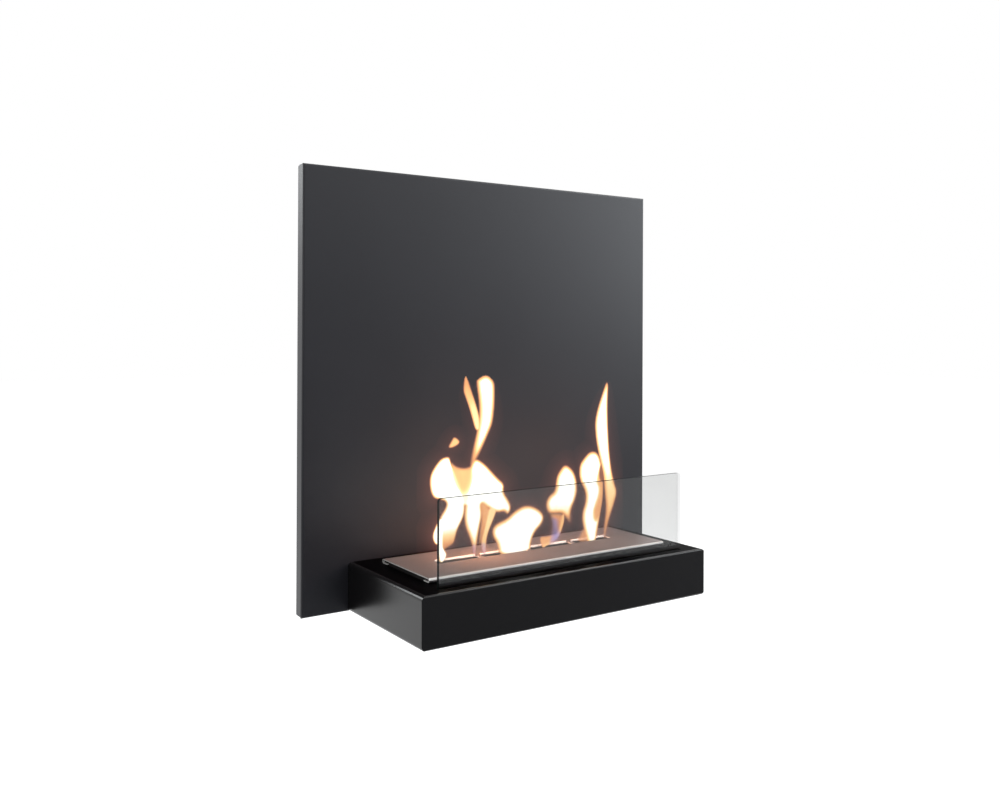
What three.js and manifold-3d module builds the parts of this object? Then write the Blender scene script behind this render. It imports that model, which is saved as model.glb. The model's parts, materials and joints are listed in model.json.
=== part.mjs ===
// A wall-hung bioethanol fireplace: a square back panel folded from sheet steel, a shelf bolted to
// its lower half, a glass screen standing in the shelf, and a lift-out burner whose slotted lid
// slides on the burner's rims.
//
// Millimetres. +X runs to the right, the front faces -Y and +Z is up. The origin is the centre of
// the wall rail's rear face, which lies on the wall.

import * as THREE from 'three';
import { mergeVertices } from 'three/addons/utils/BufferGeometryUtils.js';
import Module from 'manifold-3d';

const wasm = await Module();
wasm.setup();

// ---------------------------------------------------------------- clearances
const jointGap = 0.2; // paint film between faces that are bolted or welded together
const seatGap = 0.3; // under a piece that lifts out
const slideGap = 0.2; // above and below the rims that the lid slides on
const screwGap = 0.3; // round a screw or bolt in its hole

// ---------------------------------------------------------------- back panel
const panelWidth = 600;
const panelHeight = 600;
const panelDepth = 20;
const panelSheet = 1.5;
const panelFold = 3; // outer radius of its folds
const panelFlange = 16; // edge turned in behind, along the wall
const mitreSlit = 0.8; // open mitre between two flanges
const cornerNotch = 2; // relief where two returns meet

// ---------------------------------------------------------------- hanging on the wall
const wallStandoff = 2; // panel's rear edge to the wall
const railLength = 400;
const railSheet = 2;
const railBend = 1; // inner bend radius
const railWeb = 36; // the part that lies on the wall
const railLip = 14; // upright lip that carries the panel
const railSlack = 1.5; // free space in front of and behind the hook's leg
const railBelowTop = 75; // rail's centre below the panel's top edge
const wallSlotLength = 16;
const wallSlotWidth = 6.5;
const wallSlotInset = 40; // first slot's centre from the rail's end
const wallSlotCount = 4;
const hookLength = 440;
const hookWeb = 44;
const hookEndGap = 3; // the leg's end above the rail's ledge
const unhookTravel = 30; // how far the fireplace is lifted to unhook it
const padDiameter = 12;
const padHeightGap = 0.1; // the pads end this far in front of the wall face
const padFromCorner = 45;

const stiffenerWidth = 40;
const stiffenerDepth = 15;
const stiffenerSheet = 2;
const stiffenerBend = 1.5;
const stiffenerEndGap = 4; // to the panel's lower return, and below the lifted wall rail

// ---------------------------------------------------------------- shelf
const shelfWidth = 467;
const shelfDepth = 203;
const shelfHeight = 66;
const shelfSheet = 1.5;
const shelfSideFold = 6; // outer radius of the folds along the sides
const shelfFrontFold = 3; // outer radius of the folds along the front
const shelfCornerRadius = 1.2; // the welded and dressed upright corners
const shelfReturn = 15; // edge turned in along the open bottom
const shelfRearFlange = 25; // turned in against the panel at both sides
const shelfTopFlange = 12; // turned down against the panel at the top

const boltDiameter = 6;
const boltLength = 13; // under the head
const boltHeadAcross = 10;
const boltHeadHeight = 4;
const washerDiameter = 12;
const washerThickness = 1.6;
const nutHeight = 5;
const boltFromSide = 17.5;
const boltFromBottom = 18;
const boltFromTop = 20;

const coverSheet = 1.2;
const coverEdgeGap = 0.5; // round the cover, from where the housing's folds begin
const ventLength = 36;
const ventWidth = 4;
const ventPitch = 46;
const ventCount = 8;
const ventFromRear = 24; // one row behind the burner, one in front of it
const ventFromFront = 32;
const coverScrewDiameter = 4;
const coverScrewHead = 7.5; // flat countersunk head
const coverScrewHeadHeight = 1.2;
const coverScrewRecess = 0.15; // the head's face above the housing's underside
const coverScrewLength = 8; // with its head
const coverScrewSpan = 360; // between the outer two screws of the front row
const coverScrewRear = 45; // rear screw of each side row, from the panel

const supportHeight = 8;
const supportWidth = 26; // inside width of the hat section
const supportFoot = 13;
const supportSheet = 1.5;
const supportBend = 1.5;
const supportLength = 124;
const supportFromCentre = 120;

// ---------------------------------------------------------------- glass screen
const glassWidth = 402;
const glassThickness = 5;
const glassAboveShelf = 110;
const glassInGroove = 13; // how deep the pane stands in its channel
const glassFromFront = 18.3; // middle of the pane from the shelf's front
const glassCorner = 4;
const glassGap = 0.2; // between the pane and its gasket
const glassSlotGap = 0.8; // round the pane where it passes through the shelf's top
const gasketThickness = 1;
const channelSheet = 1.2;
const channelBend = 0.8;
const channelFlange = 10;
const channelEnd = 4; // channel beyond the pane at each end
const studDiameter = 4;
const studLength = 8;
const studSpan = 330; // between the outer two studs of a row
const studCount = 2;
const studNutAcross = 7;
const studNutHeight = 3.2;

// ---------------------------------------------------------------- burner
const lidLength = 394;
const lidWidth = 126.5;
const lidSheet = 1.5;
const lidReturn = 14; // the edge that is folded back under the rim
const lidAboveShelf = 0.6; // the folded edge runs just clear of the shelf
const lidToPanel = 30;
const flameSlotLength = 296;
const flameSlotWidth = 13;
const flameSlotRear = 10; // slot's rear edge behind the lid's centre line
const upstandHeight = 2; // the slot's rear edge is turned up, which keeps the flames off the panel
const flameSlotCorner = 1.5;
const bridgeWidth = 6;
const bridgePitch = 79;
const bridgeCount = 3;

const boxLength = 390;
const boxSheet = 1;
const boxBend = 2;
const rimBend = 1;
const hemGap = 0.5; // inside the folded rim
const hemEndGap = 1; // between the hem's end and the box's wall
const boxToLidReturn = 1; // box's wall to the end of the lid's folded edge
const cutoutGap = 1.5; // shelf's cut-out round the box
const cutoutCorner = 3;

const tankSheet = 1;
const tankCorner = 4; // outer radius of its folded and welded corners
const tankGap = 3; // air round the tank, inside the box
const tankBelowShelf = 1; // tank's edge below the shelf's top
const spacerHeight = 4;
const spacerLength = 30;
const spacerWidth = 18;
const spacerFromEnd = 40;
const woolGap = 0.3;
const meshSheet = 0.8;
const meshCorner = 3;
const meshGap = 0.6; // round the mesh tray, inside the tank
const meshRim = 6; // its edge, turned up
const meshBelowTank = 1; // its edge below the tank's edge
const meshHoleLength = 13;
const meshHoleWidth = 5;
const meshPitchX = 16;
const meshPitchY = 8;
const meshMargin = 5; // plain border

// ---------------------------------------------------------------- rounding
const foldSteps = 4; // facets in a quarter turn of a fold
const roundSteps = 16; // facets round a screw, pad or hole
const facetsPerSegment = 2; // an arc in a shape gets two facets for each curve segment

// ---------------------------------------------------------------- materials
const finish = (color, roughness, metalness) =>
  new THREE.MeshStandardMaterial({ color, roughness, metalness, flatShading: true });
const panelPaint = finish(0x3c3e40, 0.55, 0.2);
const shelfPaint = finish(0x232427, 0.35, 0.2);
const blackPaint = finish(0x121212, 0.6, 0.1);
const brushedSteel = finish(0xb9b4ae, 0.32, 1);
const zincSteel = finish(0xa4a7aa, 0.45, 0.9);
const galvanised = finish(0x8f9395, 0.5, 0.85);
const clearGlass = finish(0xdfe6e4, 0.03, 0);
clearGlass.transparent = true;
clearGlass.opacity = 0.25;
const silicone = finish(0x1c1c1c, 0.8, 0);
const blackRubber = finish(0x181818, 0.85, 0);
const ceramicPad = finish(0xd9d3c4, 0.9, 0);
const ceramicWool = finish(0xf1eee6, 0.95, 0);

// ---------------------------------------------------------------- solids
function solidFrom(geometry) {
  for (const name of Object.keys(geometry.attributes)) {
    if (name !== 'position') geometry.deleteAttribute(name);
  }
  const merged = mergeVertices(geometry);
  return new wasm.Manifold(new wasm.Mesh({
    numProp: 3,
    vertProperties: new Float32Array(merged.attributes.position.array),
    triVerts: new Uint32Array(merged.index.array),
  }));
}

function geometryFrom(solid) {
  const mesh = solid.getMesh();
  const geometry = new THREE.BufferGeometry();
  geometry.setAttribute('position', new THREE.BufferAttribute(mesh.vertProperties, 3));
  geometry.setIndex(new THREE.BufferAttribute(mesh.triVerts, 1));
  geometry.computeVertexNormals();
  return geometry;
}

const joined = (solids) => solids.reduce((whole, solid) => whole.add(solid));
const without = (solid, cuts) => cuts.reduce((rest, cut) => rest.subtract(cut), solid);

// An outline drawn in the YZ, XZ or XY plane and extruded along the axis that is left.
const outlineAxes = {
  x: [new THREE.Vector3(0, 1, 0), new THREE.Vector3(0, 0, 1), new THREE.Vector3(1, 0, 0)],
  y: [new THREE.Vector3(1, 0, 0), new THREE.Vector3(0, 0, 1), new THREE.Vector3(0, -1, 0)],
  z: [new THREE.Vector3(1, 0, 0), new THREE.Vector3(0, 1, 0), new THREE.Vector3(0, 0, 1)],
};

function prism(axis, outline, from, to, arcFacets = foldSteps) {
  const geometry = new THREE.ExtrudeGeometry(outline, {
    depth: to - from,
    bevelEnabled: false,
    curveSegments: arcFacets / facetsPerSegment,
  });
  geometry.translate(0, 0, axis === 'y' ? -to : from);
  geometry.applyMatrix4(new THREE.Matrix4().makeBasis(...outlineAxes[axis]));
  return solidFrom(geometry);
}

// Radii start at the lowest corner and go round: (u0, v0), (u1, v0), (u1, v1), (u0, v1).
function roundedRectangle(u0, v0, u1, v1, radii = [0, 0, 0, 0]) {
  const outline = new THREE.Shape();
  const corners = [[u0, v0, 1, 1], [u1, v0, -1, 1], [u1, v1, -1, -1], [u0, v1, 1, -1]];
  corners.forEach(([u, v, du, dv], i) => {
    const r = radii[i];
    const start = Math.PI + i * Math.PI / 2;
    if (r > 0) outline.absarc(u + du * r, v + dv * r, r, start, start + Math.PI / 2, false);
    else if (i === 0) outline.moveTo(u, v);
    else outline.lineTo(u, v);
  });
  outline.closePath();
  return outline;
}

// A box between two opposite corners. For each axis named in `radii`, the four edges along that
// axis are rounded.
function block([x0, y0, z0], [x1, y1, z1], radii = { z: [0, 0, 0, 0] }) {
  const along = {
    x: (r) => prism('x', roundedRectangle(y0, z0, y1, z1, r), x0, x1),
    y: (r) => prism('y', roundedRectangle(x0, z0, x1, z1, r), y0, y1),
    z: (r) => prism('z', roundedRectangle(x0, y0, x1, y1, r), z0, z1),
  };
  return Object.entries(radii)
    .map(([axis, r]) => along[axis](r))
    .reduce((whole, solid) => whole.intersect(solid));
}

const all = (radius) => [radius, radius, radius, radius];

function disc(u, v, diameter) {
  return new THREE.Shape().absarc(u, v, diameter / 2, 0, 2 * Math.PI, false);
}

function rod(axis, u, v, diameter, from, to) {
  return prism(axis, disc(u, v, diameter), from, to, roundSteps);
}

// A round rod along Z whose diameter changes from `lower` at the bottom to `upper` at the top.
function cone(x, y, lower, upper, from, to) {
  const geometry = new THREE.CylinderGeometry(upper / 2, lower / 2, to - from, roundSteps);
  geometry.rotateX(Math.PI / 2);
  geometry.translate(x, y, (from + to) / 2);
  return solidFrom(geometry);
}

function hexagon(u, v, across) {
  const radius = across / Math.sqrt(3);
  const corners = Array.from({ length: 6 }, (_, i) => new THREE.Vector2(
    u + radius * Math.cos(i * Math.PI / 3),
    v + radius * Math.sin(i * Math.PI / 3),
  ));
  return new THREE.Shape(corners);
}

// The section of a folded sheet. `path` runs along one face of it as [u, v] or, where a fold has a
// bend of its own, [u, v, inner radius]. The sheet lies to the left of the path, or to the right
// when `sheet` is negative.
function foldedSection(path, sheet, bend) {
  const face = [];
  const back = [];
  const put = (list, point) => {
    if (!list.length || list[list.length - 1].distanceTo(point) > 1e-6) list.push(point);
  };
  const left = (direction) => new THREE.Vector2(-direction.y, direction.x);
  const points = path.map(([u, v]) => new THREE.Vector2(u, v));
  const directions = points.slice(1).map((point, i) => point.clone().sub(points[i]).normalize());

  points.forEach((corner, i) => {
    const arriving = directions[i - 1];
    const leaving = directions[i];
    if (!arriving || !leaving) {
      put(face, corner);
      put(back, corner.clone().addScaledVector(left(arriving ?? leaving), sheet));
      return;
    }
    const turn = Math.atan2(arriving.cross(leaving), arriving.dot(leaving));
    const inner = path[i][2] ?? bend;
    const sheetInside = turn * sheet > 0;
    const faceRadius = sheetInside ? inner + Math.abs(sheet) : inner;
    const backRadius = sheetInside ? inner : inner + Math.abs(sheet);
    const spoke = left(arriving).multiplyScalar(-Math.sign(turn));
    const centre = corner.clone()
      .addScaledVector(arriving, -faceRadius * Math.tan(Math.abs(turn) / 2))
      .addScaledVector(spoke, -faceRadius);
    for (let step = 0; step <= foldSteps; step += 1) {
      const ray = spoke.clone().rotateAround(new THREE.Vector2(), turn * step / foldSteps);
      put(face, centre.clone().addScaledVector(ray, faceRadius));
      put(back, centre.clone().addScaledVector(ray, backRadius));
    }
  });
  return new THREE.Shape([...face, ...back.reverse()]);
}

// The outline of a straight slit of the given width between two points.
function slit(u0, v0, u1, v1, width) {
  const start = new THREE.Vector2(u0, v0);
  const end = new THREE.Vector2(u1, v1);
  const along = end.clone().sub(start).normalize();
  const aside = new THREE.Vector2(-along.y, along.x).multiplyScalar(width / 2);
  return new THREE.Shape([
    start.clone().sub(aside), end.clone().sub(aside), end.clone().add(aside), start.clone().add(aside),
  ]);
}

// `count` places, evenly spread over `span` about zero.
function spread(count, span) {
  return Array.from({ length: count }, (_, i) => (count > 1 ? span * (i / (count - 1) - 0.5) : 0));
}

// Every pair of a place in `us` and a place in `vs`.
const grid = (us, vs) => us.flatMap((u) => vs.map((v) => [u, v]));

// ---------------------------------------------------------------- shared places
const railHeight = panelHeight - railBelowTop; // wall rail's centre above the panel's lower edge
const wallPlane = panelDepth + wallStandoff; // from the panel's front face
const lipTop = railHeight + railWeb / 2 + railLip;

const boltX = shelfWidth / 2 - boltFromSide;
const boltPlaces = grid([-boltX, boltX], [boltFromBottom, shelfHeight - boltFromTop]);

const coverUnderside = shelfSheet + jointGap;
const coverTop = coverUnderside + coverSheet;
const supportTop = coverTop + jointGap + supportHeight;

const glassY = -(shelfDepth - glassFromFront);
const grooveHalf = glassThickness / 2 + glassGap + gasketThickness + jointGap;
const channelTop = shelfHeight - shelfSheet - jointGap;
const glassBottom = shelfHeight - glassInGroove;
const gasketInside = glassBottom - seatGap; // the gasket's floor, under the pane
const channelInside = gasketInside - gasketThickness - jointGap;
const studRow = grooveHalf + channelSheet + channelFlange / 2;
const studPlaces = grid(spread(studCount, studSpan), [glassY - studRow, glassY + studRow]);

const padX = panelWidth / 2 - panelFlange / 2;
const padPlaces = grid([-padX, padX], [padFromCorner, panelHeight - padFromCorner]);

const coverScrewX = shelfWidth / 2 - (shelfReturn + shelfSideFold) / 2;
const coverScrewFront = shelfDepth - (shelfReturn + shelfFrontFold) / 2;
const coverScrewPlaces = [
  ...spread(3, coverScrewSpan).map((x) => [x, -coverScrewFront]),
  ...grid([-coverScrewX, coverScrewX], [-coverScrewRear, -(coverScrewRear + coverScrewFront) / 2]),
];

// Heights in the burner are measured from the shelf's top, widths from the lid's centre line.
const burnerY = -(lidToPanel + lidWidth / 2);
const rimThickness = 2 * boxSheet + hemGap;
const lidHeight = rimThickness + 2 * (slideGap + lidSheet);
const lidTop = lidAboveShelf + lidHeight;
const rimTop = lidTop - lidSheet - slideGap;
const rimHalf = lidWidth / 2 - lidHeight / 2;
const boxHalf = lidWidth / 2 - lidReturn - boxToLidReturn;
const boxFloor = supportTop + seatGap - shelfHeight;
const spacerFoot = boxFloor + boxSheet + jointGap;
const tankBottom = spacerFoot + spacerHeight + jointGap;
const tankTop = -tankBelowShelf;
const tankHalfLength = boxLength / 2 - boxSheet - tankGap;
const tankHalfWidth = boxHalf - boxSheet - tankGap;
const spacerX = tankHalfLength - spacerFromEnd;
const spacerY = tankHalfWidth - spacerWidth;
const meshTop = tankTop - meshBelowTank;
const meshFloor = meshTop - meshRim;

// ---------------------------------------------------------------- wall side
function wallRail() {
  const lipBack = -(railSheet + 2 * railSlack);
  const section = foldedSection([
    [0, -railWeb / 2],
    [0, railWeb / 2],
    [lipBack, railWeb / 2],
    [lipBack, railWeb / 2 + railLip],
  ], railSheet, railBend);
  const slots = spread(wallSlotCount, railLength - 2 * wallSlotInset).map((x) => block(
    [x - wallSlotLength / 2, -2 * railSheet, -wallSlotWidth / 2],
    [x + wallSlotLength / 2, railSheet, wallSlotWidth / 2],
    { y: all(wallSlotWidth / 2) },
  ));
  return without(prism('x', section, -railLength / 2, railLength / 2), slots);
}

function hangingRail() {
  const front = panelSheet + jointGap;
  const back = wallPlane - railSlack;
  const top = lipTop + seatGap + railSheet;
  const section = foldedSection([
    [front, top - hookWeb],
    [front, top],
    [back, top],
    [back, railHeight + railWeb / 2 + hookEndGap],
  ], -railSheet, railBend);
  return prism('x', section, -hookLength / 2, hookLength / 2);
}

function wallPad() {
  return rod('y', 0, 0, padDiameter, panelDepth + jointGap, wallPlane - padHeightGap);
}

// ---------------------------------------------------------------- back panel
function backPanel() {
  const half = panelWidth / 2;
  const folds = { x: all(panelFold), z: all(panelFold) };
  const insideFolds = { x: all(panelFold - panelSheet), z: all(panelFold - panelSheet) };
  const tray = block([-half, 0, 0], [half, panelDepth, panelHeight], folds);
  const hollow = block(
    [-half + panelSheet, panelSheet, panelSheet],
    [half - panelSheet, panelDepth - panelSheet, panelHeight - panelSheet],
    insideFolds,
  );
  const openBack = block(
    [-half + panelFlange, panelDepth - 2 * panelSheet, panelFlange],
    [half - panelFlange, panelDepth + panelSheet, panelHeight - panelFlange],
  );
  const corners = [-1, 1].flatMap((sideX) => [-1, 1].map((sideZ) => {
    const x = sideX * half;
    const z = panelHeight / 2 * (1 + sideZ);
    const mitre = prism('y',
      slit(x, z, x - sideX * (panelFlange + 1), z - sideZ * (panelFlange + 1), mitreSlit),
      panelDepth - 2 * panelSheet, panelDepth + panelSheet);
    const notch = block(
      [x - cornerNotch, panelFold, z - cornerNotch],
      [x + cornerNotch, panelDepth + panelSheet, z + cornerNotch],
    );
    return mitre.add(notch);
  }));
  const boltHoles = boltPlaces.map(([x, z]) => (
    rod('y', x, z, boltDiameter + 2 * screwGap, -panelSheet, 2 * panelSheet)
  ));
  return without(tray, [hollow, openBack, ...corners, ...boltHoles]);
}

function stiffener(x) {
  const front = panelSheet + jointGap;
  const half = stiffenerWidth / 2;
  const section = foldedSection([
    [x - half, front + stiffenerDepth],
    [x - half, front],
    [x + half, front],
    [x + half, front + stiffenerDepth],
  ], stiffenerSheet, stiffenerBend);
  const top = railHeight - railWeb / 2 - unhookTravel - stiffenerEndGap;
  const channel = prism('z', section, panelSheet + stiffenerEndGap, top);
  const holes = boltPlaces.map(([boltAt, z]) => (
    rod('y', boltAt, z, boltDiameter + 2 * screwGap, 0, front + 2 * stiffenerSheet)
  ));
  return without(channel, holes);
}

// ---------------------------------------------------------------- shelf
function shelfHousing() {
  const half = shelfWidth / 2;
  const s = shelfSheet;
  const folds = (inset) => ({
    x: [shelfFrontFold - inset, 0, 0, shelfFrontFold - inset],
    y: all(shelfSideFold - inset),
    z: [Math.max(shelfCornerRadius - inset, 0), Math.max(shelfCornerRadius - inset, 0), 0, 0],
  });
  const shell = block([-half, -shelfDepth, 0], [half, 0, shelfHeight], folds(0));
  const hollow = block([-half + s, -shelfDepth + s, s], [half - s, -s, shelfHeight - s], folds(s));
  const openBottom = block(
    [-half + shelfReturn, -shelfDepth + shelfReturn, -s],
    [half - shelfReturn, -s, 2 * s],
  );
  const openRear = block(
    [-half + shelfRearFlange, -2 * s, -s],
    [half - shelfRearFlange, s, shelfHeight - shelfTopFlange],
  );
  const burnerCutout = block(
    [-boxLength / 2 - cutoutGap, burnerY - boxHalf - cutoutGap, shelfHeight - 2 * s],
    [boxLength / 2 + cutoutGap, burnerY + boxHalf + cutoutGap, shelfHeight + s],
    { z: all(cutoutCorner) },
  );
  const glassSlot = block(
    [-glassWidth / 2 - glassSlotGap, glassY - glassThickness / 2 - glassSlotGap, shelfHeight - 2 * s],
    [glassWidth / 2 + glassSlotGap, glassY + glassThickness / 2 + glassSlotGap, shelfHeight + s],
  );
  const boltHoles = boltPlaces.map(([x, z]) => (
    rod('y', x, z, boltDiameter + 2 * screwGap, -2 * s, s)
  ));
  const sinks = coverScrewPlaces.map(([x, y]) => countersink(x, y));
  const studs = studPlaces.map(([x, y]) => (
    rod('z', x, y, studDiameter, shelfHeight - s - studLength, shelfHeight - s / 2)
  ));
  const cuts = [hollow, openBottom, openRear, burnerCutout, glassSlot, ...boltHoles, ...sinks];
  return joined([without(shell, cuts), ...studs]);
}

// The hole in the housing's return for a cover screw. Its cone follows the screw's head.
function countersink(x, y) {
  const shank = coverScrewDiameter + 2 * screwGap;
  const widening = (coverScrewHead - coverScrewDiameter) / coverScrewHeadHeight;
  const low = -shelfSheet;
  const high = coverScrewRecess + coverScrewHeadHeight;
  return cone(x, y, shank + widening * (high - low), shank, low, high)
    .add(rod('z', x, y, shank, low, 2 * shelfSheet));
}

function bottomCover() {
  const halfWidth = shelfWidth / 2 - shelfSideFold - coverEdgeGap;
  const front = -(shelfDepth - shelfFrontFold - coverEdgeGap);
  const plate = block(
    [-halfWidth, front, coverUnderside],
    [halfWidth, -(shelfSheet + coverEdgeGap), coverTop],
  );
  const rows = [-ventFromRear, -(shelfDepth - ventFromFront)];
  const vents = rows.flatMap((y) => spread(ventCount, ventPitch * (ventCount - 1)).map((x) => block(
    [x - ventLength / 2, y - ventWidth / 2, 0],
    [x + ventLength / 2, y + ventWidth / 2, 2 * coverTop],
    { z: all(ventWidth / 2) },
  )));
  const screwHoles = coverScrewPlaces.map(([x, y]) => (
    rod('z', x, y, coverScrewDiameter + 2 * screwGap, 0, 2 * coverTop)
  ));
  return without(plate, [...vents, ...screwHoles]);
}

function coverScrew() {
  return joined([
    cone(0, 0, coverScrewHead, coverScrewDiameter, coverScrewRecess,
      coverScrewRecess + coverScrewHeadHeight),
    rod('z', 0, 0, coverScrewDiameter, coverScrewRecess + coverScrewHeadHeight / 2, coverScrewLength),
  ]);
}

function burnerSupport(x) {
  const inside = supportWidth / 2;
  const rise = supportHeight - supportSheet;
  const foot = coverTop + jointGap;
  const section = foldedSection([
    [x - inside - supportFoot, foot],
    [x - inside, foot],
    [x - inside, foot + rise],
    [x + inside, foot + rise],
    [x + inside, foot],
    [x + inside + supportFoot, foot],
  ], supportSheet, supportBend);
  return prism('y', section, burnerY - supportLength / 2, burnerY + supportLength / 2);
}

// ---------------------------------------------------------------- shelf to panel
// Along Y from the shelf's flange: washer and head inside the shelf, nut behind the stiffener.
const washerBack = -(shelfSheet + 2 * jointGap);
const headBack = washerBack - washerThickness - jointGap;
const nutFront = panelSheet + 2 * jointGap + stiffenerSheet;

function shelfBolt() {
  return joined([
    prism('y', hexagon(0, 0, boltHeadAcross), headBack - boltHeadHeight, headBack),
    rod('y', 0, 0, boltDiameter, headBack - boltHeadHeight / 2, headBack + boltLength),
  ]);
}

function shelfWasher() {
  return without(
    rod('y', 0, 0, washerDiameter, washerBack - washerThickness, washerBack),
    [rod('y', 0, 0, boltDiameter + 2 * screwGap, washerBack - 2 * washerThickness, 0)],
  );
}

function shelfNut() {
  return without(
    prism('y', hexagon(0, 0, boltHeadAcross), nutFront, nutFront + nutHeight),
    [rod('y', 0, 0, boltDiameter + screwGap, 0, nutFront + 2 * nutHeight)],
  );
}

// ---------------------------------------------------------------- glass screen
function glassChannel() {
  const reach = grooveHalf + channelSheet + channelFlange;
  const section = foldedSection([
    [glassY - reach, channelTop],
    [glassY - grooveHalf, channelTop],
    [glassY - grooveHalf, channelInside],
    [glassY + grooveHalf, channelInside],
    [glassY + grooveHalf, channelTop],
    [glassY + reach, channelTop],
  ], -channelSheet, channelBend);
  const half = glassWidth / 2 + channelEnd;
  const holes = studPlaces.map(([x, y]) => (
    rod('z', x, y, studDiameter + 2 * screwGap, channelTop - 2 * channelSheet, channelTop + 1)
  ));
  return without(prism('x', section, -half, half), holes);
}

function channelNut() {
  const top = channelTop - channelSheet - jointGap;
  return without(
    prism('z', hexagon(0, 0, studNutAcross), top - studNutHeight, top),
    [rod('z', 0, 0, studDiameter + screwGap, top - 2 * studNutHeight, top + 1)],
  );
}

function glassGasket() {
  const half = glassThickness / 2 + glassGap;
  const section = foldedSection([
    [glassY - half, channelTop],
    [glassY - half, gasketInside],
    [glassY + half, gasketInside],
    [glassY + half, channelTop],
  ], -gasketThickness, gasketThickness / 4);
  return prism('x', section, -glassWidth / 2, glassWidth / 2);
}

function glassPane() {
  return block(
    [-glassWidth / 2, glassY - glassThickness / 2, glassBottom],
    [glassWidth / 2, glassY + glassThickness / 2, shelfHeight + glassAboveShelf],
    { y: all(glassCorner) },
  );
}

// ---------------------------------------------------------------- burner
// A tub with rounded lower edges and upright corners, centred on the burner.
function tub(halfLength, halfWidth, bottom, top, radius) {
  return block([-halfLength, -halfWidth, bottom], [halfLength, halfWidth, top], {
    x: [radius, radius, 0, 0],
    y: [radius, radius, 0, 0],
    z: all(radius),
  });
}

// The lid's long edges are folded back under the rims, as half rounds.
function flameLid() {
  const half = lidWidth / 2;
  const section = foldedSection([
    [-half + lidReturn, lidAboveShelf],
    [-half, lidAboveShelf],
    [-half, lidTop],
    [half, lidTop],
    [half, lidAboveShelf],
    [half - lidReturn, lidAboveShelf],
  ], -lidSheet, rimThickness / 2 + slideGap);
  const bridges = spread(bridgeCount, bridgePitch * (bridgeCount - 1));
  const starts = [-flameSlotLength / 2, ...bridges.map((x) => x + bridgeWidth / 2)];
  const ends = [...bridges.map((x) => x - bridgeWidth / 2), flameSlotLength / 2];
  const windows = starts.map((start, i) => block(
    [start, flameSlotRear - flameSlotWidth, lidTop - 2 * lidSheet],
    [ends[i], flameSlotRear, lidTop + lidSheet],
    { z: all(flameSlotCorner) },
  ));
  const upstands = starts.map((start, i) => block(
    [start + flameSlotCorner, flameSlotRear, lidTop - lidSheet / 2],
    [ends[i] - flameSlotCorner, flameSlotRear + lidSheet, lidTop + upstandHeight],
  ));
  const lid = without(prism('x', section, -lidLength / 2, lidLength / 2), windows);
  return joined([lid, ...upstands]);
}

// Folded from one sheet, with hemmed rims for the lid and welded end walls.
function burnerBox() {
  const inside = boxHalf - boxSheet;
  const rimBottom = rimTop - rimThickness;
  const hemBend = hemGap / 2;
  const halfPath = [
    [boxHalf + hemEndGap, rimBottom],
    [rimHalf, rimBottom, hemBend],
    [rimHalf, rimTop, hemBend],
    [inside, rimTop, rimBend],
    [inside, boxFloor + boxSheet, boxBend],
  ];
  const section = foldedSection([
    ...halfPath.map(([y, z, bend]) => [-y, z, bend]),
    ...halfPath.toReversed(),
  ], -boxSheet, boxBend);
  const trough = prism('x', section, -boxLength / 2, boxLength / 2);
  const outerBend = boxBend + boxSheet;
  const endWalls = [-1, 1].map((side) => block(
    [Math.min(side * boxLength / 2, side * (boxLength / 2 - boxSheet)), -boxHalf, boxFloor],
    [Math.max(side * boxLength / 2, side * (boxLength / 2 - boxSheet)), boxHalf, rimTop - boxSheet],
    { x: [outerBend, outerBend, 0, 0] },
  ));
  return joined([trough, ...endWalls]);
}

function tankSpacer() {
  return block(
    [-spacerLength / 2, -spacerWidth / 2, spacerFoot],
    [spacerLength / 2, spacerWidth / 2, spacerFoot + spacerHeight],
  );
}

function fuelTank() {
  return without(tub(tankHalfLength, tankHalfWidth, tankBottom, tankTop, tankCorner), [
    block(
      [-tankHalfLength + tankSheet, -tankHalfWidth + tankSheet, tankBottom + tankSheet],
      [tankHalfLength - tankSheet, tankHalfWidth - tankSheet, tankTop + tankCorner],
      {
        x: [tankCorner - tankSheet, tankCorner - tankSheet, 0, 0],
        y: [tankCorner - tankSheet, tankCorner - tankSheet, 0, 0],
        z: all(tankCorner - tankSheet),
      },
    ),
  ]);
}

function absorbentBlock() {
  const inset = tankSheet + woolGap;
  return tub(
    tankHalfLength - inset, tankHalfWidth - inset,
    tankBottom + inset, meshFloor - jointGap, tankCorner - inset,
  );
}

// A tray of perforated sheet that holds the wool down. Its holes lie in staggered rows.
function retainingMesh() {
  const inset = tankSheet + meshGap;
  const halfLength = tankHalfLength - inset;
  const halfWidth = tankHalfWidth - inset;
  const rim = block(
    [-halfLength, -halfWidth, meshFloor], [halfLength, halfWidth, meshTop], { z: all(meshCorner) },
  );
  const hollow = block(
    [-halfLength + meshSheet, -halfWidth + meshSheet, meshFloor + meshSheet],
    [halfLength - meshSheet, halfWidth - meshSheet, meshTop + 1],
    { z: all(meshCorner - meshSheet) },
  );
  const rows = Math.floor((2 * (halfWidth - meshMargin) - meshHoleWidth) / meshPitchY) + 1;
  const columns = Math.floor((2 * (halfLength - meshMargin) - meshHoleLength) / meshPitchX) + 1;
  const holes = spread(rows, meshPitchY * (rows - 1)).flatMap((y, row) => {
    const count = columns - row % 2;
    return spread(count, meshPitchX * (count - 1)).map((x) => prism('z', new THREE.Shape([
      new THREE.Vector2(x - meshHoleLength / 2, y),
      new THREE.Vector2(x, y - meshHoleWidth / 2),
      new THREE.Vector2(x + meshHoleLength / 2, y),
      new THREE.Vector2(x, y + meshHoleWidth / 2),
    ]), meshFloor - 1, meshFloor + 2 * meshSheet));
  });
  return without(rim, [hollow, joined(holes)]);
}

// ---------------------------------------------------------------- assembly
function piece(name, solid, material) {
  const mesh = new THREE.Mesh(geometryFrom(solid), material);
  mesh.name = name;
  return mesh;
}

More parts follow.
